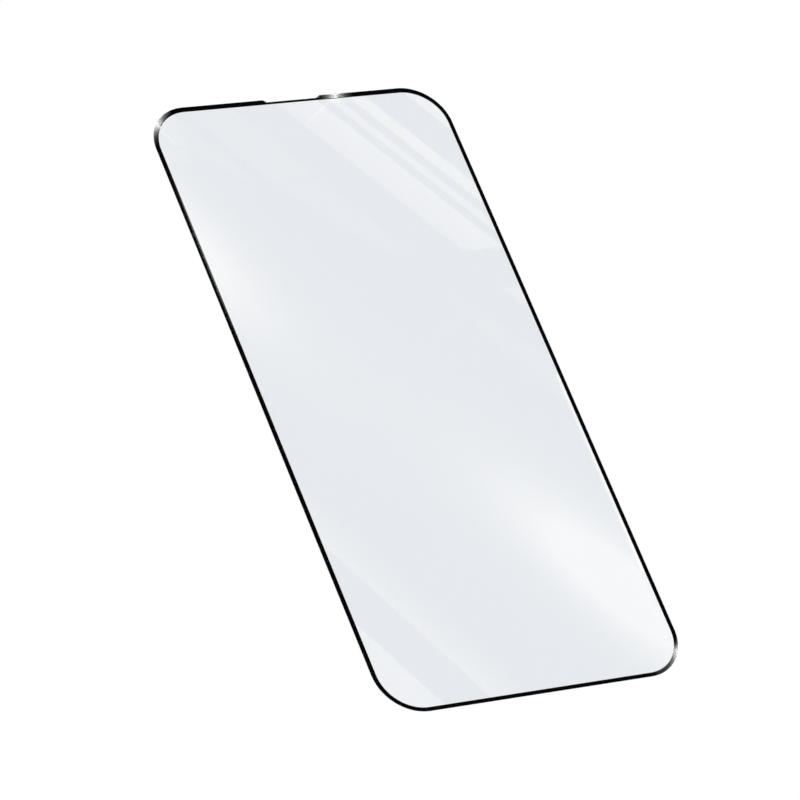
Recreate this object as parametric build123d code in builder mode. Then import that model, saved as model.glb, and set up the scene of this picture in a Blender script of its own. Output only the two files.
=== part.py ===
"""Tempered-glass screen protector for a phone, with a black border printed on its underside.

The sheet lies flat, as it would on a phone: +Z points away from the screen, +Y towards the earpiece
and +X across the phone. The origin is the middle of the underside. All sizes are in millimetres.
"""

import os
from math import acos, degrees, hypot, radians, sin, tan

from build123d import *

# Outline of the glass
WIDTH = 70.0
LENGTH = 143.5
CORNER_RADIUS = 9.5

# Section of the glass: an arc is ground on the upper edge, and a small chamfer on the lower one
GLASS_THICKNESS = 0.33
RIM_WIDTH = 0.65
EDGE_LAND = 0.08
UNDERSIDE_CHAMFER = 0.05

# Black ink under the glass, printed out to the glass's edge and widest at the top
SIDE_BORDER = 0.96
TOP_BORDER = 1.16
BOTTOM_BORDER = 0.81
INK_THICKNESS = 0.03

# Earpiece notch in the top edge: a shallow dip between two S-shaped ramps
NOTCH_MOUTH = 14.0
NOTCH_DEPTH = 0.6
NOTCH_FOOT_RADIUS = 0.8
LIP_SPARE = 0.55

# How far the grinding profile reaches past the faces that it cuts
GRIND_REACH = 0.3

# Levels, and sizes that follow from the ones above
glass_underside = INK_THICKNESS
glass_face = glass_underside + GLASS_THICKNESS
rim_drop = GLASS_THICKNESS - UNDERSIDE_CHAMFER - EDGE_LAND
rim_radius = hypot(RIM_WIDTH, rim_drop) ** 2 / (2 * rim_drop)
notch_lip_radius = RIM_WIDTH + LIP_SPARE
ramp_angle = degrees(acos(1 - NOTCH_DEPTH / (notch_lip_radius + NOTCH_FOOT_RADIUS)))
ramp_run = (notch_lip_radius + NOTCH_FOOT_RADIUS) * sin(radians(ramp_angle))
window_middle = (BOTTOM_BORDER - TOP_BORDER) / 2

# Outline of the sheet: the right half from the middle of the notch to the middle of the lower
# edge, with its mirror image
with BuildSketch() as outline:
    with BuildLine():
        notch_floor = LENGTH / 2 - NOTCH_DEPTH
        floor_line = Line((0, notch_floor), (NOTCH_MOUTH / 2 - ramp_run, notch_floor))
        foot_arc = JernArc(floor_line @ 1, floor_line % 1, NOTCH_FOOT_RADIUS, ramp_angle)
        lip_arc = JernArc(foot_arc @ 1, foot_arc % 1, notch_lip_radius, -ramp_angle)
        top_line = Line(lip_arc @ 1, (WIDTH / 2 - CORNER_RADIUS, LENGTH / 2))
        upper_corner = JernArc(top_line @ 1, top_line % 1, CORNER_RADIUS, -90)
        side_line = Line(upper_corner @ 1, (WIDTH / 2, CORNER_RADIUS - LENGTH / 2))
        lower_corner = JernArc(side_line @ 1, side_line % 1, CORNER_RADIUS, -90)
        Line(lower_corner @ 1, (0, -LENGTH / 2))
        mirror(about=Plane.YZ)
    make_face()

# Section that the grinding wheel takes off the upper edge, drawn at the middle of the lower edge:
# x runs inwards from the glass's outer wall and y up from its face
wall_slope = tan(2 * acos(RIM_WIDTH / hypot(RIM_WIDTH, rim_drop)))
grind_plane = Plane(origin=(0, -LENGTH / 2, glass_face), x_dir=(0, 1, 0), z_dir=(1, 0, 0))
with BuildSketch(grind_plane) as grind_section:
    with BuildLine():
        rim_arc = RadiusArc((0, -rim_drop), (RIM_WIDTH, 0), rim_radius)
        Polyline(
            rim_arc @ 1,
            (RIM_WIDTH, GRIND_REACH),
            (-GRIND_REACH, GRIND_REACH),
            (-GRIND_REACH, -rim_drop - GRIND_REACH * wall_slope),
            rim_arc @ 0,
        )
    make_face()

# Glass sheet, with its upper edge ground all the way round, through the notch too
with BuildPart() as glass_sheet:
    with BuildSketch(Plane.XY.offset(glass_underside)):
        add(outline.sketch)
    extrude(amount=GLASS_THICKNESS)
    upper_edge = glass_sheet.faces().sort_by(Axis.Z)[-1].outer_wire()
    chamfer(glass_sheet.edges().group_by(Axis.Z)[0], UNDERSIDE_CHAMFER)
    sweep(sections=grind_section.sketch, path=upper_edge, mode=Mode.SUBTRACT)
glass_sheet.part.label = "glass_sheet"

# Printed border: a frame of ink on the glass's underside, round the clear window
with BuildPart() as border_print:
    with BuildSketch():
        add(outline.sketch)
        with Locations((0, window_middle)):
            RectangleRounded(
                WIDTH - 2 * SIDE_BORDER,
                LENGTH - TOP_BORDER - BOTTOM_BORDER,
                CORNER_RADIUS - SIDE_BORDER,
                mode=Mode.SUBTRACT,
            )
    extrude(amount=INK_THICKNESS)
border_print.part.label = "border_print"

os.makedirs("parts", exist_ok=True)
for piece in (glass_sheet, border_print):
    export_step(piece.part, f"parts/{piece.part.label}.step")
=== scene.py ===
"""Looks of a phone screen protector: a sheet of tempered glass with a black printed border.

The sheet lies on a white floor. Every piece is in metres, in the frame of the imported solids:
+X across the phone, +Y towards the earpiece notch and +Z away from the display.
"""

import logging
import math
from dataclasses import dataclass, field
from enum import Enum
from typing import Any

import bpy
from mathutils import Matrix, Vector


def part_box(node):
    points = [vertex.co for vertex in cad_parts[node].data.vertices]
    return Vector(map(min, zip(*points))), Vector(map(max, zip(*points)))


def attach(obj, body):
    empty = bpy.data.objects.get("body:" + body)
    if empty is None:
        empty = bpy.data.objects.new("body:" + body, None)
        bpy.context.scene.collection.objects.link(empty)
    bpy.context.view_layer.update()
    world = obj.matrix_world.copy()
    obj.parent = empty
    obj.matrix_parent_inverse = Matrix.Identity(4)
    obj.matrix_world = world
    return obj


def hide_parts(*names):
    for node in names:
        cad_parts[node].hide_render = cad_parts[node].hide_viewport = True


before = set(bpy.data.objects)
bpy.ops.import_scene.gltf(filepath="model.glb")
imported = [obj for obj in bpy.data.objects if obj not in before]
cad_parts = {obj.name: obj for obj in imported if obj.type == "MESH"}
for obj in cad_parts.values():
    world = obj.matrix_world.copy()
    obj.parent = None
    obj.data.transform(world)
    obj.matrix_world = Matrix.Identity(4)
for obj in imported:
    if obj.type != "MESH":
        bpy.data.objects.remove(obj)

MM = 0.001
CARD_MAP = "card"
UP = Vector((0, 0, 1))
WELD = 0.001 * MM
CREASE_ANGLE = math.radians(25)

# Numbers of the colour sockets of a Mix node, which have the same names as its other sockets
MIX_FIRST = 6
MIX_SECOND = 7
MIX_RESULT = 2

Colour = tuple[float, float, float]
log = logging.getLogger("screen_protector")


class Ray(Enum):
    """Kinds of ray that a finish may answer to, by the name of their Light Path output."""

    CAMERA = "Is Camera Ray"
    SHADOW = "Is Shadow Ray"
    GLOSSY = "Is Glossy Ray"
    TRANSMISSION = "Is Transmission Ray"


BACKGROUND_RAYS = (Ray.CAMERA, Ray.GLOSSY, Ray.TRANSMISSION)


class Signal:
    """Output of a node that arithmetic works on: each operator adds the Math node that it stands for."""

    def __init__(self, bench: "NodeBench", socket: bpy.types.NodeSocket) -> None:
        """Wraps one output socket of a tree that is being built."""
        self.bench = bench
        self.socket = socket

    def _math(self, operation: str, first: Any, second: Any) -> "Signal":
        """Adds one Math node on two numbers or signals."""
        return self.bench.node("ShaderNodeMath", {0: first, 1: second}, operation=operation)

    def __add__(self, other: Any) -> "Signal":
        """Sum of two values."""
        return self._math("ADD", self, other)

    def __radd__(self, other: Any) -> "Signal":
        """Sum with a plain number on the left."""
        return self._math("ADD", other, self)

    def __sub__(self, other: Any) -> "Signal":
        """Difference of two values."""
        return self._math("SUBTRACT", self, other)

    def __rsub__(self, other: Any) -> "Signal":
        """Difference from a plain number on the left."""
        return self._math("SUBTRACT", other, self)

    def __mul__(self, other: Any) -> "Signal":
        """Product of two values."""
        return self._math("MULTIPLY", self, other)

    def __rmul__(self, other: Any) -> "Signal":
        """Product with a plain number on the left."""
        return self._math("MULTIPLY", other, self)

    def __truediv__(self, other: Any) -> "Signal":
        """Quotient of two values."""
        return self._math("DIVIDE", self, other)

    def __pow__(self, other: Any) -> "Signal":
        """Power of a value that isn't negative."""
        return self._math("POWER", self, other)

    def __rpow__(self, other: Any) -> "Signal":
        """Power of a plain number on the left."""
        return self._math("POWER", other, self)

    def __gt__(self, other: Any) -> "Signal":
        """One where the value is above the other, and zero elsewhere."""
        return self._math("GREATER_THAN", self, other)


class NodeBench:
    """A node tree under construction, for materials and for geometry alike."""

    def __init__(self, tree: bpy.types.NodeTree) -> None:
        """Starts on a tree, with any nodes that it came with taken out."""
        self.tree = tree
        self.tree.nodes.clear()

    def node(
        self, kind: str, inputs: dict | None = None, output: int | str = 0, **settings: Any
    ) -> Signal:
        """Adds a node.

        Args:
            kind: Blender's name for the node type.
            inputs: Socket name or number to a plain value, a signal or a list of signals.
            output: Name or number of the output that is wanted.
            **settings: The node's own properties, which are set before its sockets.

        Returns:
            The output, ready for arithmetic.
        """
        made = self.tree.nodes.new(kind)
        for name, value in settings.items():
            setattr(made, name, value)
        for key, value in (inputs or {}).items():
            self._feed(made.inputs[key], value)
        wanted = made.outputs[output] if made.outputs else None
        return Signal(self, wanted)

    def _feed(self, socket: bpy.types.NodeSocket, value: Any) -> None:
        """Links a signal or a list of signals to a socket, or sets a plain value on it."""
        for item in value if isinstance(value, list) else [value]:
            if isinstance(item, Signal):
                self.tree.links.new(item.socket, socket)
            else:
                socket.default_value = item

    def smooth(self, value: Signal, low: float, high: float) -> Signal:
        """Smooth step from zero at low to one at high."""
        inputs = {"Value": value, "From Min": low, "From Max": high}
        return self.node("ShaderNodeMapRange", inputs, interpolation_type="SMOOTHSTEP")

    def colours(self, share: Signal, first: Colour, second: Colour) -> Signal:
        """Blend from the first colour to the second."""
        inputs = {0: share, MIX_FIRST: (*first, 1), MIX_SECOND: (*second, 1)}
        return self.node("ShaderNodeMix", inputs, output=MIX_RESULT, data_type="RGBA")

    def noise(self, place: Signal, scale: float, detail: float = 2.0) -> Signal:
        """Even noise from zero to one, at a number of cells in each metre."""
        inputs = {"Vector": place, "Scale": scale, "Detail": detail}
        return self.node("ShaderNodeTexNoise", inputs)

    def seen(self, *rays: Ray) -> Signal:
        """One for a ray of any of the given kinds, and zero for others."""
        kinds = sum(self.node("ShaderNodeLightPath", output=ray.value) for ray in rays)
        return self.node("ShaderNodeClamp", {"Value": kinds})


class MaterialBench(NodeBench):
    """The node tree of a new material."""

    def __init__(self, name: str) -> None:
        """Makes the material with an empty tree."""
        self.material = bpy.data.materials.new(name)
        self.material.use_nodes = True
        super().__init__(self.material.node_tree)

    def surface(self, shader: Signal) -> bpy.types.Material:
        """Makes a shader the material's surface, and returns the material."""
        self.node("ShaderNodeOutputMaterial", {"Surface": shader})
        return self.material

    def place(self) -> Signal:
        """Position on the piece, in metres."""
        return self.node("ShaderNodeTexCoord", output="Object")

    def attribute(self, name: str) -> Signal:
        """A number that the piece's mesh carries."""
        return self.node("ShaderNodeAttribute", output="Fac", attribute_name=name)

    def card_place(self) -> tuple[Signal, Signal]:
        """The two numbers that a stage card's map holds."""
        flat = self.node("ShaderNodeUVMap", uv_map=CARD_MAP)
        first = self.node("ShaderNodeSeparateXYZ", {"Vector": flat}, output="X")
        return first, self.node("ShaderNodeSeparateXYZ", {"Vector": flat}, output="Y")


class GeometryBench(NodeBench):
    """A Geometry Nodes tree with named inputs for its sizes."""

    def __init__(self, name: str, sizes: dict[str, float], material: bpy.types.Material) -> None:
        """Makes the tree's inputs.

        Args:
            name: The tree's name.
            sizes: Input name to its value in metres.
            material: What the finished mesh is made of.
        """
        super().__init__(bpy.data.node_groups.new(name, "GeometryNodeTree"))
        self.values: dict[str, Any] = {}
        self._declare("Geometry", "INPUT", "NodeSocketGeometry")
        for label, value in sizes.items():
            self.values[self._declare(label, "INPUT", "NodeSocketFloat")] = value
        self.values[self._declare("Material", "INPUT", "NodeSocketMaterial")] = material
        self._declare("Geometry", "OUTPUT", "NodeSocketGeometry")
        self.inputs = self.tree.nodes.new("NodeGroupInput")

    def _declare(self, label: str, side: str, kind: str) -> str:
        """Adds a socket to the tree's interface, and returns its identifier."""
        return self.tree.interface.new_socket(label, in_out=side, socket_type=kind).identifier

    def given(self, label: str) -> Signal:
        """One of the tree's named inputs."""
        return Signal(self, self.inputs.outputs[label])

    def point(self, x: Any, y: Any, z: Any) -> Signal:
        """A vector from three numbers or signals."""
        return self.node("ShaderNodeCombineXYZ", {0: x, 1: y, 2: z})

    def inset(self, curve: Signal, distance: Signal) -> Signal:
        """Moves an anticlockwise outline inwards by a distance."""
        heading = self.node("GeometryNodeInputTangent")
        inwards = self.node("ShaderNodeVectorMath", {0: UP, 1: heading}, operation="CROSS_PRODUCT")
        moved = self.node("ShaderNodeVectorMath", {0: inwards, "Scale": distance}, operation="SCALE")
        return self.node("GeometryNodeSetPosition", {"Geometry": curve, "Offset": moved})

    def plate(self, edge: Signal, height: Signal) -> Signal:
        """Fills a flat outline with one face, and lifts it to a height."""
        film = self.node("GeometryNodeFillCurve", {"Curve": edge}, mode="NGONS")
        lift = {"Geometry": film, "Offset": self.point(0, 0, height)}
        return self.node("GeometryNodeSetPosition", lift)

    def joined(self, *parts: Signal) -> Signal:
        """Puts several geometries together."""
        return self.node("GeometryNodeJoinGeometry", {"Geometry": list(parts)})

    def tagged(self, geometry: Signal, name: str, value: Any, domain: str = "POINT") -> Signal:
        """Stores a number on each point or face under a name."""
        inputs = {"Geometry": geometry, "Name": name, "Value": value}
        return self.node("GeometryNodeStoreNamedAttribute", inputs, data_type="FLOAT", domain=domain)

    def shaded(self, mesh: Signal, smooth: bool) -> Signal:
        """Shades all faces smooth or flat."""
        return self.node("GeometryNodeSetShadeSmooth", {"Geometry": mesh, "Shade Smooth": smooth})

    def grow(self, name: str, start: bpy.types.Mesh) -> bpy.types.Object:
        """Runs the tree on a mesh and keeps its result as a plain mesh.

        Args:
            name: The new piece's name.
            start: What the tree starts from.

        Returns:
            The finished piece, at the origin and with no modifier.
        """
        piece = bpy.data.objects.new(name, start)
        bpy.context.scene.collection.objects.link(piece)
        modifier = piece.modifiers.new(self.tree.name, "NODES")
        modifier.node_group = self.tree
        for identifier, value in self.values.items():
            modifier[identifier] = value
        evaluated = piece.evaluated_get(bpy.context.evaluated_depsgraph_get())
        finished = bpy.data.meshes.new_from_object(evaluated)
        finished.materials.pop(index=0)
        piece.modifiers.remove(modifier)
        piece.data = finished
        finished.name = name
        return piece

    def finish(self, mesh: Signal) -> None:
        """Ends the tree: welds its parts, creases its sharp edges and sets its material."""
        welded = self.node("GeometryNodeMergeByDistance", {"Geometry": mesh, "Distance": WELD})
        angle = self.node("GeometryNodeInputMeshEdgeAngle", output="Unsigned Angle")
        crease = {"Geometry": welded, "Selection": angle > CREASE_ANGLE, "Shade Smooth": False}
        creased = self.node("GeometryNodeSetShadeSmooth", crease, domain="EDGE")
        realized = self.node("GeometryNodeRealizeInstances", {"Geometry": creased})
        dressing = {"Geometry": realized, "Material": self.given("Material")}
        dressed = self.node("GeometryNodeSetMaterial", dressing)
        self.node("NodeGroupOutput", {"Geometry": dressed})


@dataclass(frozen=True)
class GroundGlass:
    """Tempered glass with a faint blue-grey tint, polished on its faces and ground along its edge."""

    tint: Colour = (0.874, 0.8943, 0.9247)
    deep_tint: Colour = (0.866, 0.8873, 0.9197)
    index: float = 1.5
    face_roughness: float = 0.004
    edge_roughness: float = 0.025
    edge_variation: float = 0.02
    cloud_scale: float = 45.0
    grind_along: float = 250.0
    grind_across: float = 26000.0
    grind_detail: float = 3.0
    grind_strength: float = 0.4
    grind_depth: float = 0.0006 * MM
    shadow_tint: Colour = (0.93, 0.945, 0.96)

    def material(self) -> bpy.types.Material:
        """Builds the glass, which lets lamps through to what lies under it."""
        bench = MaterialBench("ground_glass")
        cloud = bench.noise(bench.place(), self.cloud_scale)
        edge = bench.attribute("ground_edge")
        along = bench.attribute("edge_run") * self.grind_along
        across = bench.attribute("edge_depth") * self.grind_across
        track = bench.node("ShaderNodeCombineXYZ", {0: along, 1: across})
        scratches = bench.noise(track, 1.0, self.grind_detail)
        ground = self.edge_roughness + self.edge_variation * (scratches - 0.5)
        relief = {
            "Height": scratches * edge,
            "Strength": self.grind_strength,
            "Distance": self.grind_depth,
        }
        glass = bench.node(
            "ShaderNodeBsdfPrincipled",
            {
                "Base Color": bench.colours(cloud, self.tint, self.deep_tint),
                "Roughness": edge * ground + (1 - edge) * (self.face_roughness * cloud),
                "IOR": self.index,
                "Transmission Weight": 1.0,
                "Normal": bench.node("ShaderNodeBump", relief),
            },
        )
        clear = bench.node("ShaderNodeBsdfTransparent", {"Color": (*self.shadow_tint, 1)})
        lamp = bench.seen(Ray.SHADOW)
        return bench.surface(bench.node("ShaderNodeMixShader", {0: lamp, 1: glass, 2: clear}))


@dataclass(frozen=True)
class BorderInk:
    """Black screen ink, with the fine grain of the mesh that it was pressed through."""

    black: Colour = (0.0011, 0.0011, 0.0012)
    worn_black: Colour = (0.0016, 0.0016, 0.0018)
    roughness: float = 0.38
    roughness_variation: float = 0.14
    shine: float = 0.25
    mesh_scale: float = 5200.0
    patch_scale: float = 180.0
    grain_detail: float = 1.0
    grain_strength: float = 0.3
    grain_depth: float = 0.002 * MM

    def material(self) -> bpy.types.Material:
        """Builds the ink."""
        bench = MaterialBench("border_ink")
        place = bench.place()
        grain = bench.noise(place, self.mesh_scale, self.grain_detail)
        patch = bench.noise(place, self.patch_scale)
        relief = {"Height": grain, "Strength": self.grain_strength, "Distance": self.grain_depth}
        ink = bench.node(
            "ShaderNodeBsdfPrincipled",
            {
                "Base Color": bench.colours(grain * patch, self.black, self.worn_black),
                "Roughness": self.roughness + self.roughness_variation * (patch - 0.5),
                "Specular IOR Level": self.shine,
                "Normal": bench.node("ShaderNodeBump", relief),
            },
        )
        return bench.surface(ink)


@dataclass
class SheetOutline:
    """Edge of the sheet seen from above: a closed loop that runs anticlockwise."""

    width: float
    length: float
    corner_radius: float = 9.5 * MM
    notch_mouth: float = 14.0 * MM
    notch_depth: float = 0.6 * MM
    notch_foot_radius: float = 0.8 * MM
    notch_lip_radius: float = 1.2 * MM
    arc_step: float = 3.0

    def corner(self, across: int, along: int) -> Vector:
        """Middle of a corner's arc, for -1 or 1 across the sheet and along it."""
        x = across * (self.width / 2 - self.corner_radius)
        return Vector((x, along * (self.length / 2 - self.corner_radius), 0))

    def arc(self, centre: Vector, radius: float, start: float, end: float) -> list[Vector]:
        """Points along an arc.

        Args:
            centre: The arc's middle.
            radius: Its radius.
            start: Angle of its first point, in degrees.
            end: Angle of its last point.

        Returns:
            Points no further apart than the outline's step.
        """
        count = math.ceil(abs(end - start) / self.arc_step)
        angles = [math.radians(start + (end - start) * i / count) for i in range(count + 1)]
        return [centre + radius * Vector((math.cos(a), math.sin(a), 0)) for a in angles]

    def notch(self) -> list[Vector]:
        """Points of the notch's two S-shaped ramps, from its right end to its left end."""
        reach = self.notch_lip_radius + self.notch_foot_radius
        ramp = math.degrees(math.acos(1 - self.notch_depth / reach))
        run = reach * math.sin(math.radians(ramp))
        top = self.length / 2
        lip = Vector((self.notch_mouth / 2, top - self.notch_lip_radius, 0))
        foot = Vector((self.notch_mouth / 2 - run, top - self.notch_depth + self.notch_foot_radius, 0))
        right = self.arc(lip, self.notch_lip_radius, 90, 90 + ramp)
        right += self.arc(foot, self.notch_foot_radius, 270 + ramp, 270)[1:]
        return right + [Vector((-point.x, point.y, 0)) for point in reversed(right)]

    def mesh(self) -> bpy.types.Mesh:
        """The loop as a mesh of edges."""
        loop = self.arc(self.corner(1, -1), self.corner_radius, -90, 0)
        loop += self.arc(self.corner(1, 1), self.corner_radius, 0, 90)
        loop += self.notch()
        loop += self.arc(self.corner(-1, 1), self.corner_radius, 90, 180)
        loop += self.arc(self.corner(-1, -1), self.corner_radius, 180, 270)
        mesh = bpy.data.meshes.new("sheet_outline")
        mesh.from_pydata(loop, [(i, (i + 1) % len(loop)) for i in range(len(loop))], [])
        return mesh


@dataclass
class GlassSheet:
    """The glass: two flat faces, an arc ground on the upper edge and a chamfer on the lower one."""

    outline: SheetOutline
    underside: float
    thickness: float
    rim_width: float = 0.65 * MM
    edge_land: float = 0.08 * MM
    chamfer: float = 0.05 * MM
    rim_steps: int = 14
    finish: GroundGlass = field(default_factory=GroundGlass)

    @property
    def face(self) -> float:
        """Height of the upper face."""
        return self.underside + self.thickness

    @property
    def rim_drop(self) -> float:
        """How far the ground arc falls from the face to the outer wall."""
        return self.thickness - self.chamfer - self.edge_land

    @property
    def rim_radius(self) -> float:
        """Radius of the ground arc, which leaves the face without a corner."""
        return (self.rim_width ** 2 + self.rim_drop ** 2) / (2 * self.rim_drop)

    def tilt(self, depth: float) -> float:
        """How far the top leans outwards at a depth in from the edge, in radians."""
        return math.asin(max(self.rim_width - depth, 0) / self.rim_radius)

    def height(self, depth: float) -> float:
        """Height of the top at a depth in from the edge."""
        return self.face - self.rim_radius * (1 - math.cos(self.tilt(depth)))

    def section(self, bench: GeometryBench) -> Signal:
        """Draws the edge's section, from the face's rim to the underside.

        Args:
            bench: The tree, whose sweep takes x outwards and y down.

        Returns:
            The section's arc, wall and chamfer as curves.
        """
        width = bench.given("Rim width")
        drop = bench.given("Rim drop")
        top = bench.given("Face height")
        low = bench.given("Underside height")
        chamfer = bench.given("Chamfer")
        chord = (width * width + drop * drop) ** 0.5
        radius = chord * chord / (2 * drop)
        sagitta = radius - (radius * radius - chord * chord / 4) ** 0.5
        crown_out = drop / chord * sagitta - width / 2
        crown_up = top - drop / 2 + width / chord * sagitta
        start = bench.point(0 - width, 0 - top, 0)
        shoulder = bench.point(0, drop - top, 0)
        ankle = bench.point(0, 0 - low - chamfer, 0)
        crown = bench.point(crown_out, 0 - crown_up, 0)
        bow = {"Resolution": self.rim_steps, "Start": start, "Middle": crown, "End": shoulder}
        arc = bench.node("GeometryNodeCurveArc", bow, mode="POINTS")
        wall = bench.node("GeometryNodeCurvePrimitiveLine", {"Start": shoulder, "End": ankle})
        toe = bench.point(0 - chamfer, 0 - low, 0)
        bevel = bench.node("GeometryNodeCurvePrimitiveLine", {"Start": ankle, "End": toe})
        depth = bench.node("GeometryNodeSplineParameter", output="Length")
        return bench.tagged(bench.joined(arc, wall, bevel), "edge_depth", depth)

    def build(self) -> bpy.types.Object:
        """Sweeps the section round the outline and closes it with the two faces."""
        sizes = {
            "Rim width": self.rim_width,
            "Rim drop": self.rim_drop,
            "Face height": self.face,
            "Underside height": self.underside,
            "Chamfer": self.chamfer,
        }
        bench = GeometryBench("ground_sheet", sizes, self.finish.material())
        loop = bench.node("GeometryNodeMeshToCurve", {"Mesh": bench.given("Geometry")})
        loop = bench.node("GeometryNodeSetCurveNormal", {"Curve": loop}, mode="Z_UP")
        run = bench.node("GeometryNodeSplineParameter", output="Length")
        track = bench.tagged(loop, "edge_run", run)
        sweep = {"Curve": track, "Profile Curve": self.section(bench)}
        swept = bench.node("GeometryNodeCurveToMesh", sweep)
        ground = bench.tagged(bench.shaded(swept, True), "ground_edge", 1.0, "FACE")
        face = bench.plate(bench.inset(loop, bench.given("Rim width")), bench.given("Face height"))
        base = bench.plate(bench.inset(loop, bench.given("Chamfer")), bench.given("Underside height"))
        base = bench.node("GeometryNodeFlipFaces", {"Mesh": base})
        bench.finish(bench.joined(ground, bench.shaded(bench.joined(face, base), False)))
        return bench.grow("ground_glass", self.outline.mesh())

    def dress(self) -> bpy.types.Object:
        """Builds the glass and sets it in the place of its solid."""
        piece = self.build()
        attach(piece, "root")
        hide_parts("glass_sheet")
        return piece


@dataclass
class BorderPrint:
    """The printed border: a frame of ink out to the sheet's edge, round a plain window."""

    outline: SheetOutline
    thickness: float
    side: float = 0.96 * MM
    top: float = 1.16 * MM
    bottom: float = 0.81 * MM
    bond: float = 0.004 * MM
    corner_steps: int = 30
    finish: BorderInk = field(default_factory=BorderInk)

    @property
    def window_width(self) -> float:
        """Width of the clear window."""
        return self.outline.width - 2 * self.side

    @property
    def window_length(self) -> float:
        """Length of the clear window."""
        return self.outline.length - self.top - self.bottom

    @property
    def window_corner(self) -> float:
        """Radius of the window's corners."""
        return self.outline.corner_radius - self.side

    @property
    def window_middle(self) -> Vector:
        """Middle of the window, nearer to the bottom edge than to the top one."""
        return Vector((0, (self.bottom - self.top) / 2, 0))

    def window(self) -> list[Vector]:
        """Points round the window's edge, anticlockwise."""
        across = self.window_width / 2 - self.window_corner
        along = self.window_length / 2 - self.window_corner
        edge = []
        for quarter, (i, j) in enumerate(((1, 1), (-1, 1), (-1, -1), (1, -1))):
            centre = self.window_middle + Vector((i * across, j * along, 0))
            edge += self.outline.arc(centre, self.window_corner, 90 * quarter, 90 * quarter + 90)
        return edge

    def build(self) -> bpy.types.Object:
        """Fills the field between the two edges and gives it the ink's thickness."""
        sizes = {
            "Window width": self.window_width,
            "Window length": self.window_length,
            "Window corner": self.window_corner,
            "Window middle": self.window_middle.y,
            "Thickness": self.thickness + self.bond,
        }
        bench = GeometryBench("border_print", sizes, self.finish.material())
        outer = bench.node("GeometryNodeMeshToCurve", {"Mesh": bench.given("Geometry")})
        opening = {"Width": bench.given("Window width"), "Height": bench.given("Window length")}
        square = bench.node("GeometryNodeCurvePrimitiveQuadrilateral", opening, mode="RECTANGLE")
        rounding = {"Curve": square, "Count": self.corner_steps, "Radius": bench.given("Window corner")}
        centred = bench.node("GeometryNodeFilletCurve", rounding, mode="POLY")
        shift = {"Geometry": centred, "Offset": bench.point(0, bench.given("Window middle"), 0)}
        inner = bench.node("GeometryNodeSetPosition", shift)
        edges = {"Curve": bench.joined(outer, inner)}
        film = bench.node("GeometryNodeFillCurve", edges, mode="TRIANGLES")
        thickness = bench.given("Thickness")
        lift = {"Mesh": film, "Offset": UP, "Offset Scale": thickness, "Individual": False}
        raised = bench.node("GeometryNodeExtrudeMesh", lift, mode="FACES")
        base = bench.node("GeometryNodeFlipFaces", {"Mesh": film})
        bench.finish(bench.shaded(bench.joined(raised, base), False))
        return bench.grow("printed_border", self.outline.mesh())

    def dress(self) -> bpy.types.Object:
        """Builds the border and sets it in the place of its solid."""
        piece = self.build()
        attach(piece, "root")
        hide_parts("border_print")
        return piece


def bearing(azimuth: float, elevation: float) -> Vector:
    """Direction from the sheet, as a vector of length one.

    Args:
        azimuth: Degrees round the sheet, anticlockwise from its bottom edge's side.
        elevation: Degrees up from the floor.
    """
    around = math.radians(azimuth)
    up = math.radians(elevation)
    return Vector((math.sin(around) * math.cos(up), -math.cos(around) * math.cos(up), math.sin(up)))


@dataclass
class PhotoCamera:
    """The camera, at the photograph's angle to the sheet."""

    azimuth: float = -49.5656
    elevation: float = 48.8290
    roll: float = 34.4719
    distance: float = 1100.87 * MM
    aim: tuple[float, float] = (-4.073 * MM, -2.476 * MM)
    lens: float = 247.467
    sensor: float = 36.0

    @property
    def back(self) -> Vector:
        """Direction from the sheet to the camera."""
        return bearing(self.azimuth, self.elevation)

    @property
    def place(self) -> Vector:
        """Where the camera stands."""
        return Vector((*self.aim, 0)) + self.back * self.distance

    def build(self) -> None:
        """Makes the scene's camera."""
        data = bpy.data.cameras.new("photo_camera")
        data.lens = self.lens
        data.sensor_width = self.sensor
        camera = bpy.data.objects.new("photo_camera", data)
        bpy.context.scene.collection.objects.link(camera)
        level = (-self.back).to_track_quat("-Z", "Y").to_matrix()
        turned = level @ Matrix.Rotation(math.radians(self.roll), 3, "Z")
        camera.matrix_world = Matrix.Translation(self.place) @ turned.to_4x4()
        bpy.context.scene.camera = camera


def leaning(x: Signal, y: Signal, slant: float) -> Signal:
    """Distance across lines that lean by a slant, in degrees, from the sheet's length."""
    turn = math.radians(slant)
    return x * math.cos(turn) + y * math.sin(turn)


@dataclass(frozen=True)
class Streak:
    """A straight band of light as it shows on the sheet, in millimetres from the sheet's middle.

    Its two long edges lean from the sheet's length, near and far from the middle, and it is cut off
    level at low and high. A far edge with a slant of its own makes it a wedge.
    """

    near: float
    far: float
    low: float
    high: float
    near_level: float
    far_level: float
    slant: float = 35.25
    far_slant: float | None = None
    blur: float = 0.5

    def light(self, bench: NodeBench, x: Signal, y: Signal) -> Signal:
        """The band's light at a place on the sheet, soft at the band's edges."""
        far_slant = self.slant if self.far_slant is None else self.far_slant
        depth = leaning(x, y, self.slant) - self.near
        rise = (self.far_level - self.near_level) / (self.far - self.near)
        level = self.near_level + rise * depth
        for inside in (depth, self.far - leaning(x, y, far_slant), y - self.low, self.high - y):
            level = level * bench.smooth(inside, 0, self.blur)
        return level


@dataclass(frozen=True)
class Glow:
    """A soft oval of light as it shows on the sheet, in millimetres from the sheet's middle."""

    middle: tuple[float, float]
    half_length: float
    half_width: float
    level: float
    cap: float
    fall: float
    slant: float = 32.0

    def light(self, bench: NodeBench, x: Signal, y: Signal) -> Signal:
        """The oval's light at a place on the sheet."""
        right = x - self.middle[0]
        up = y - self.middle[1]
        across = leaning(right, up, self.slant) / self.half_width
        along = leaning(right, up, self.slant + 90) / self.half_length
        bell = self.level * math.e ** (0 - (across * across + along * along) ** (self.fall / 2))
        return bench.node("ShaderNodeMath", {0: bell, 1: self.cap}, operation="MINIMUM")


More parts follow.
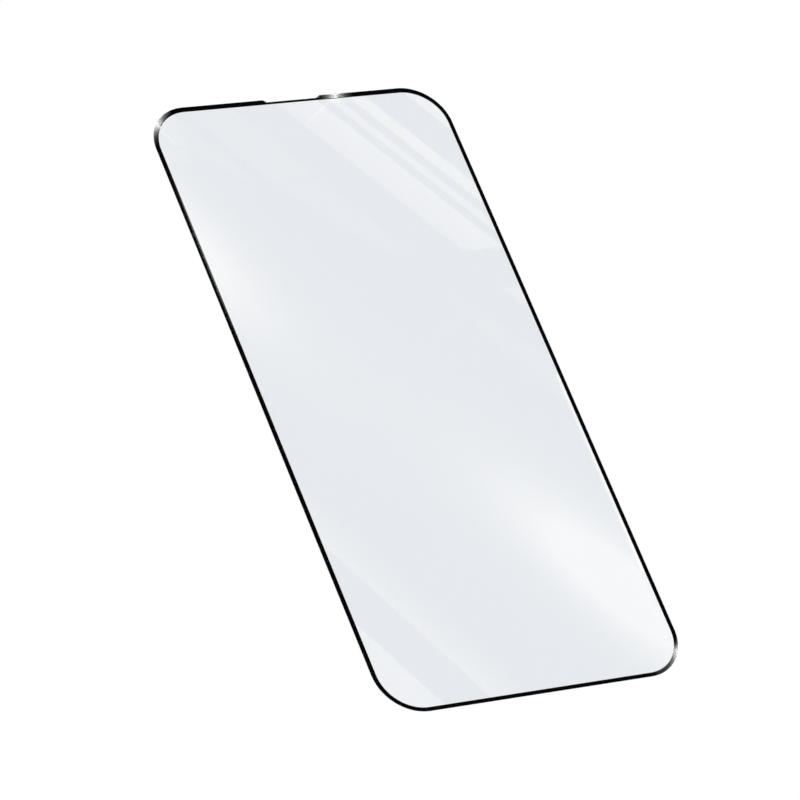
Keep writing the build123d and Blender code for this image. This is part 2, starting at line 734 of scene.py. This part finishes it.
@dataclass(frozen=True)
class PanelLight:
    """Light panel that the pane mirrors: plain white, with warmer bands and glows in it."""

    white_level: float = 0.90
    warm: Colour = (1.0, 0.91, 0.70)
    brightest: float = 4.0

    # Each streak: near, far, low and high edge, then its level near and far
    top_bands: tuple[Streak, ...] = (
        Streak(37.3, 45.5, 30.1, 80, 0.52, 0.84),
        Streak(47.1, 49.5, 30.1, 80, 0.72, 0.72),
        Streak(51.2, 54.8, 30.1, 80, 0.85, 0.90),
        Streak(62.0, 75.0, 30.1, 80, 0.86, 0.86),
    )
    low_bands: tuple[Streak, ...] = (
        Streak(-46.2, -37.5, -80, -15, 0.64, 0.0, slant=30.5),
        Streak(-70.0, -54.8, -80, -15, 0.90, 0.80, slant=30.5),
    )
    faint_bands: tuple[Streak, ...] = (
        Streak(35.9, 60.0, 0, 20.8, 0.52, 0.52, slant=32.8),
        Streak(23.5, 27.3, -20, 20.8, 0.15, 0.15, slant=30.6, far_slant=41.7),
        Streak(27.2, 28.1, 31.0, 51.5, 0.15, 0.15, slant=45.0, far_slant=34.5),
        Streak(17.5, 28.1, 51.5, 80, 0.20, 0.20, slant=33.3, far_slant=34.5),
        Streak(26.3, 17.5, 52.0, 80, 0.18, 0.18, slant=47.7, far_slant=35.2),
        Streak(-40.0, -27.5, 57.5, 80, 0.22, 0.22, slant=0, blur=1.0),
    )
    flares: tuple[Streak, ...] = (
        Streak(32.8, 34.8, -49.0, -1.0, 0.0, 3.6, slant=0, blur=0.3),
        Streak(7.0, 8.0, 62.5, 68.0, 0.5, 0.5, slant=32.0, blur=0.5),
        Streak(-54.0, -53.0, 65.5, 70.6, 0.5, 0.5, slant=-56.3, blur=0.5),
    )

    # Each glow: middle, half-length, half-width, level, highest level and power of its fall
    glows: tuple[Glow, ...] = (
        Glow((28.2, -52.7), 25.6, 7.6, 3.0, 1.55, 1.34, slant=33.6),
        Glow((-48.5, 54.2), 28.0, 7.9, 4.15, 1.50, 1.47, slant=31.0),
        Glow((10.2, 70.5), 0.8, 2.5, 1.2, 1.2, 2.0, slant=0),
    )

    def shapes(self) -> list[Streak | Glow]:
        """All that shows in the panel's white."""
        return [*self.top_bands, *self.low_bands, *self.faint_bands, *self.flares, *self.glows]

    def material(self) -> bpy.types.Material:
        """Builds the panel's light over a map of the sheet's millimetres."""
        bench = MaterialBench("light_panel")
        bench.material.cycles.emission_sampling = "NONE"
        x, y = bench.card_place()
        level = sum(shape.light(bench, x, y) for shape in self.shapes())
        white = bench.node("ShaderNodeEmission", {"Strength": self.white_level})
        warm = bench.node("ShaderNodeEmission", {"Color": (*self.warm, 1), "Strength": self.brightest})
        share = bench.node("ShaderNodeMixShader", {0: level / self.brightest, 2: warm})
        return bench.surface(bench.node("ShaderNodeAddShader", {0: white, 1: share}))


@dataclass(frozen=True)
class Glint:
    """A bright spot on the ground rim, drawn out along the edge.

    Attributes:
        name: Name of its card.
        level: Strength of its light.
        spread: Half-length along the edge, in millimetres.
        depth: How far it goes in from the edge, in millimetres.
        hang: Distance of its card, as a share of the camera's distance.
        reach: Half-length of its card, in spreads.
        fall: Power of its fall to both sides, higher for a flatter top.
        outer_gain: How much longer it is at the very edge than halfway in, as a share.
        outer_dim: How much darker it is at the very edge, as a share.
        skew: How much longer it is on the side of negative offsets, as a share.
        side_blend: Offset at which one side's length has turned into the other's.
    """

    name: str
    level: float
    spread: float
    depth: float
    hang: float
    reach: float = 3.0
    fall: float = 1.4
    outer_gain: float = 0.3
    outer_dim: float = 0.0
    skew: float = 0.0
    side_blend: float = 0.3

    def edge(self, outline: SheetOutline, offset: float) -> tuple[Vector, Vector]:
        """Finds a place on the sheet's edge.

        Args:
            outline: The sheet's edge.
            offset: Distance along the edge from the spot's middle, in millimetres.

        Returns:
            The place, and the way out of the sheet there.
        """
        raise NotImplementedError

    def material(self) -> bpy.types.Material:
        """Builds the spot's light over a map of offsets along the edge and depths in from it."""
        bench = MaterialBench(self.name)
        bench.material.cycles.emission_sampling = "NONE"
        offset, depth = bench.card_place()
        side = bench.smooth(offset, -self.side_blend, self.side_blend)
        width = self.spread * (1 + self.outer_gain * (1 - 2 * depth)) * (1 + self.skew * (1 - 2 * side))
        squared = (offset * offset) / (width * width)
        bell = math.e ** (0 - squared ** (self.fall / 2))
        share = bell * (1 - self.outer_dim * (1 - depth))
        light = bench.node("ShaderNodeEmission", {"Strength": self.level})
        clear = bench.node("ShaderNodeBsdfTransparent")
        return bench.surface(bench.node("ShaderNodeMixShader", {0: share, 1: clear, 2: light}))


@dataclass(frozen=True)
class CornerGlint(Glint):
    """A bright spot on a corner's arc, where the edge faces a given way."""

    across: int = 1
    along: int = 1
    facing: float = 45.0

    def edge(self, outline: SheetOutline, offset: float) -> tuple[Vector, Vector]:
        """Place and way out at an offset along the corner's arc."""
        angle = math.radians(self.facing) + offset * MM / outline.corner_radius
        out = Vector((math.cos(angle), math.sin(angle), 0))
        return outline.corner(self.across, self.along) + outline.corner_radius * out, out


@dataclass(frozen=True)
class StraightGlint(Glint):
    """A bright spot on a straight edge, at a distance from the edge's middle."""

    way: tuple[float, float] = (0.0, 1.0)
    middle: float = 0.0

    def edge(self, outline: SheetOutline, offset: float) -> tuple[Vector, Vector]:
        """Place and way out at an offset along the edge."""
        out = Vector((*self.way, 0))
        foot = Vector((out.x * outline.width / 2, out.y * outline.length / 2, 0))
        along = (self.middle + offset) * MM
        return foot + along * Vector((abs(out.y), abs(out.x), 0)), out


GLINTS = (
    CornerGlint(
        "corner_glint", level=17.0, spread=1.75, depth=1.0, hang=0.5, skew=0.12,
        across=-1, along=1, facing=142.5,
    ),
    CornerGlint(
        "low_corner_glint", level=12.5, spread=1.8, depth=0.9, hang=0.5, fall=1.8, skew=0.28,
        across=1, along=-1, facing=-33.0,
    ),
    CornerGlint(
        "low_corner_sheen", level=1.35, spread=2.9, depth=0.9, hang=0.52, reach=2.0, fall=4.0,
        outer_gain=0.0, outer_dim=0.6, across=1, along=-1, facing=-64.0,
    ),
    StraightGlint(
        "notch_glint", level=18.0, spread=1.34, depth=1.16, hang=0.05,
        outer_gain=0.0, outer_dim=0.25, middle=10.1,
    ),
    StraightGlint(
        "side_sheen", level=3.7, spread=14.0, depth=0.84, hang=0.5, reach=1.55, fall=2.5,
        outer_gain=0.0, outer_dim=1.6, way=(-1.0, 0.0), middle=35.5,
    ),
)


@dataclass(frozen=True)
class PanelWall:
    """Curved wall of soft panels, which the glass mirrors in views from other sides.

    Attributes:
        level: Strength of a panel's light.
        gap_share: Light of the gaps between panels, as a share of a panel's.
        gap_edges: Where a gap starts and ends to turn into a panel, as shares of half a pitch.
        distance: From the sheet's middle, in metres.
        azimuths: The wall's two ends, in degrees.
        elevations: Its foot and its top, in degrees.
        crest: Elevation at azimuth zero where its light ends.
        crest_slope: Rise of that limit for each degree of azimuth.
        panel: Half the pitch of the panels, in degrees.
        lean: Degrees that a panel leans for each degree up.
        end_fade: Degrees over which the light fades out at each end.
        top_fade: The same at the crest.
        bottom_fade: The same at the foot.
    """

    level: float = 0.95
    gap_share: float = 0.45
    gap_edges: tuple[float, float] = (0.30, 0.45)
    distance: float = 2.2
    azimuths: tuple[float, float] = (-145.0, 65.0)
    elevations: tuple[float, float] = (3.0, 43.0)
    crest: float = 33.5
    crest_slope: float = -0.06
    panel: float = 9.0
    lean: float = 0.6
    end_fade: float = 15.0
    top_fade: float = 10.0
    bottom_fade: float = 5.0

    def material(self) -> bpy.types.Material:
        """Builds the panels over a map of azimuths and elevations, faded out at the wall's edges."""
        bench = MaterialBench("panel_wall")
        bench.material.cycles.emission_sampling = "NONE"
        azimuth, elevation = bench.card_place()
        swing = {0: azimuth + self.lean * elevation, 1: self.panel}
        across = bench.node("ShaderNodeMath", swing, operation="PINGPONG") / self.panel
        share = self.gap_share + (1 - self.gap_share) * bench.smooth(across, *self.gap_edges)
        share = share * bench.smooth(azimuth - self.azimuths[0], 0, self.end_fade)
        share = share * bench.smooth(self.azimuths[1] - azimuth, 0, self.end_fade)
        share = share * bench.smooth(elevation - self.elevations[0], 0, self.bottom_fade)
        crest = self.crest + self.crest_slope * azimuth
        share = share * bench.smooth(crest - elevation, 0, self.top_fade)
        light = bench.node("ShaderNodeEmission", {"Strength": self.level})
        clear = bench.node("ShaderNodeBsdfTransparent")
        return bench.surface(bench.node("ShaderNodeMixShader", {0: share, 1: clear, 2: light}))


@dataclass
class Studio:
    """What stands round the sheet: the floor, the lamp, and lights that show only in its reflections."""

    camera: PhotoCamera
    sheet: GlassSheet
    border: BorderPrint
    floor_gap: float = 0.02 * MM
    floor_side: float = 20.0
    floor_colour: Colour = (0.35, 0.35, 0.35)
    floor_glow: float = 0.68
    card_columns: int = 24
    card_rows: int = 12
    tent_radius: float = 2.5
    tent_segments: int = 48
    tent_rings: int = 24
    tent_level: float = 0.01
    ambient: float = 0.35
    sun_strength: float = 2.55
    sun_spread: float = 40.0
    sun_place: tuple[float, float, float] = (-0.9, -0.7, 1.5)

    def card(
        self, name: str, points: list[Vector], faces: list[tuple], light: bpy.types.Material
    ) -> bpy.types.Object:
        """Makes a stage piece.

        Args:
            name: The piece's name.
            points: Its corners.
            faces: Numbers of the corners round each face.
            light: Its material.

        Returns:
            The piece, which no part of the sheet rides on.
        """
        mesh = bpy.data.meshes.new(name)
        mesh.from_pydata(points, [], faces)
        mesh.materials.append(light)
        piece = bpy.data.objects.new(name, mesh)
        bpy.context.scene.collection.objects.link(piece)
        return piece

    def map_card(self, piece: bpy.types.Object, places: list[tuple[float, float]]) -> None:
        """Gives each corner of a card its place on the card's own map."""
        layer = piece.data.uv_layers.new(name=CARD_MAP)
        for loop, entry in zip(piece.data.loops, layer.uv):
            entry.vector = places[loop.vertex_index]

    def reflections_only(self, piece: bpy.types.Object) -> None:
        """Hides a stage piece from all but mirrored and bent rays."""
        piece.visible_camera = False
        piece.visible_diffuse = False
        piece.visible_shadow = False

    def over(self, point: Vector) -> Vector:
        """Where on the glass's face the camera sees a point of the underside."""
        sight = (point - self.camera.place).normalized()
        level = Vector((sight.x, sight.y, 0))
        bent = math.asin(level.length / self.sheet.finish.index)
        shift = self.sheet.thickness * math.tan(bent) * level.normalized()
        return Vector((point.x, point.y, self.sheet.face)) - shift

    def mirrored(self, point: Vector, normal: Vector, hang: float = 1.0) -> Vector:
        """Follows the camera's line of sight past the sheet.

        Args:
            point: Where the line of sight meets the sheet.
            normal: The way that the sheet faces there.
            hang: How far the line goes on, as a share of the camera's own distance.

        Returns:
            The line's end.
        """
        sight = point - self.camera.place
        return point + hang * (sight - 2 * sight.dot(normal) * normal)

    def grid_card(
        self,
        name: str,
        points: list[Vector],
        places: list[tuple[float, float]],
        rows: int,
        light: bpy.types.Material,
    ) -> None:
        """Makes a curved stage card, which shows only in mirrored rays.

        Args:
            name: The card's name.
            points: Its points, column by column.
            places: Each point's place on the card's map.
            rows: Number of points in a column.
            light: Its material.
        """
        starts = [i for i in range(len(points) - rows) if i % rows < rows - 1]
        faces = [(i, i + 1, i + rows + 1, i + rows) for i in starts]
        card = self.card(name, points, faces, light)
        self.map_card(card, places)
        self.reflections_only(card)
        card.visible_transmission = False

    def build_panel(self) -> None:
        """Hangs the panel that the pane mirrors, cut to the window so that the border has none of it."""
        edge = [self.over(point) for point in self.border.window()]
        points = [self.mirrored(point, UP) for point in edge]
        panel = self.card("light_panel", points, [tuple(range(len(points)))], PanelLight().material())
        self.map_card(panel, [(point.x / MM, point.y / MM) for point in edge])
        self.reflections_only(panel)

    def build_glint(self, glint: Glint) -> None:
        """Hangs one curved card, which the rim mirrors as a bright spot."""
        points = []
        places = []
        for column in range(self.card_columns + 1):
            offset = glint.reach * glint.spread * (2 * column / self.card_columns - 1)
            foot, out = glint.edge(self.sheet.outline, offset)
            for row in range(self.card_rows + 1):
                share = row / self.card_rows
                depth = share * glint.depth * MM
                tilt = self.sheet.tilt(depth)
                point = foot - depth * out + self.sheet.height(depth) * UP
                normal = math.sin(tilt) * out + math.cos(tilt) * UP
                points.append(self.mirrored(point, normal, glint.hang))
                places.append((offset, share))
        self.grid_card(glint.name, points, places, self.card_rows + 1, glint.material())

    def build_wall(self, wall: PanelWall) -> None:
        """Puts up the wall of soft panels."""
        left, right = wall.azimuths
        foot, top = wall.elevations
        places = []
        for column in range(self.card_columns + 1):
            azimuth = left + (right - left) * column / self.card_columns
            for row in range(self.card_rows + 1):
                places.append((azimuth, foot + (top - foot) * row / self.card_rows))
        points = [wall.distance * bearing(*place) for place in places]
        self.grid_card("panel_wall", points, places, self.card_rows + 1, wall.material())

    def build_floor(self) -> None:
        """Lays a white floor that keeps the sheet's shadow."""
        bench = MaterialBench("white_floor")
        bench.material.cycles.emission_sampling = "NONE"
        matt = bench.node("ShaderNodeBsdfDiffuse", {"Color": (*self.floor_colour, 1)})
        white = bench.node("ShaderNodeEmission", {"Strength": self.floor_glow})
        seen = bench.node("ShaderNodeMixShader", {0: bench.seen(*BACKGROUND_RAYS), 2: white})
        finish = bench.surface(bench.node("ShaderNodeAddShader", {0: matt, 1: seen}))
        half = self.floor_side / 2
        signs = ((-1, -1), (1, -1), (1, 1), (-1, 1))
        corners = [Vector((i * half, j * half, -self.floor_gap)) for i, j in signs]
        self.card("floor", corners, [(0, 1, 2, 3)], finish)

    def build_tent(self) -> None:
        """Puts a dark tent round the set, which keeps the reflections in the border black."""
        bench = MaterialBench("dark_tent")
        bench.material.cycles.emission_sampling = "NONE"
        cloth = bench.surface(bench.node("ShaderNodeEmission", {"Strength": self.tent_level}))
        bpy.ops.mesh.primitive_uv_sphere_add(
            radius=self.tent_radius, segments=self.tent_segments, ring_count=self.tent_rings
        )
        tent = bpy.context.object
        tent.name = "tent"
        tent.data.materials.append(cloth)
        self.reflections_only(tent)

    def build_lamp(self) -> None:
        """Hangs a wide soft lamp on the camera's side, which lights the whole floor evenly."""
        data = bpy.data.lights.new("soft_lamp", "SUN")
        data.energy = self.sun_strength
        data.angle = math.radians(self.sun_spread)
        lamp = bpy.data.objects.new("soft_lamp", data)
        lamp.location = self.sun_place
        lamp.rotation_mode = "QUATERNION"
        lamp.rotation_quaternion = (-Vector(self.sun_place)).to_track_quat("-Z", "Y")
        lamp.visible_glossy = False
        lamp.visible_transmission = False
        bpy.context.scene.collection.objects.link(lamp)

    def build_world(self) -> None:
        """Sets a white background, and a plain soft light from all sides."""
        world = bpy.data.worlds.new("studio")
        world.use_nodes = True
        bpy.context.scene.world = world
        bench = NodeBench(world.node_tree)
        soft = bench.node("ShaderNodeBackground", {"Strength": self.ambient})
        white = bench.node("ShaderNodeBackground", {"Strength": 1.0})
        sky = bench.node("ShaderNodeMixShader", {0: bench.seen(*BACKGROUND_RAYS), 1: soft, 2: white})
        bench.node("ShaderNodeOutputWorld", {"Surface": sky})

    def build(self) -> None:
        """Sets the whole stage."""
        bpy.context.scene.view_settings.view_transform = "Standard"
        self.build_floor()
        self.build_tent()
        self.build_world()
        self.build_panel()
        for glint in GLINTS:
            self.build_glint(glint)
        self.build_wall(PanelWall())
        self.build_lamp()


def main() -> None:
    """Builds the sheet and its stage."""
    logging.basicConfig(level=logging.INFO, format="%(message)s")
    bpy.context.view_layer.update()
    low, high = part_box("glass_sheet")
    ink_low, ink_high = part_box("border_print")
    outline = SheetOutline(width=high.x - low.x, length=high.y - low.y)
    sheet = GlassSheet(outline, underside=low.z, thickness=high.z - low.z)
    border = BorderPrint(outline, thickness=ink_high.z - ink_low.z)
    for piece in (sheet.dress(), border.dress()):
        log.info("%s: %d faces", piece.name, len(piece.data.polygons))
    camera = PhotoCamera()
    camera.build()
    Studio(camera, sheet, border).build()


if __name__ == "__main__":
    main()
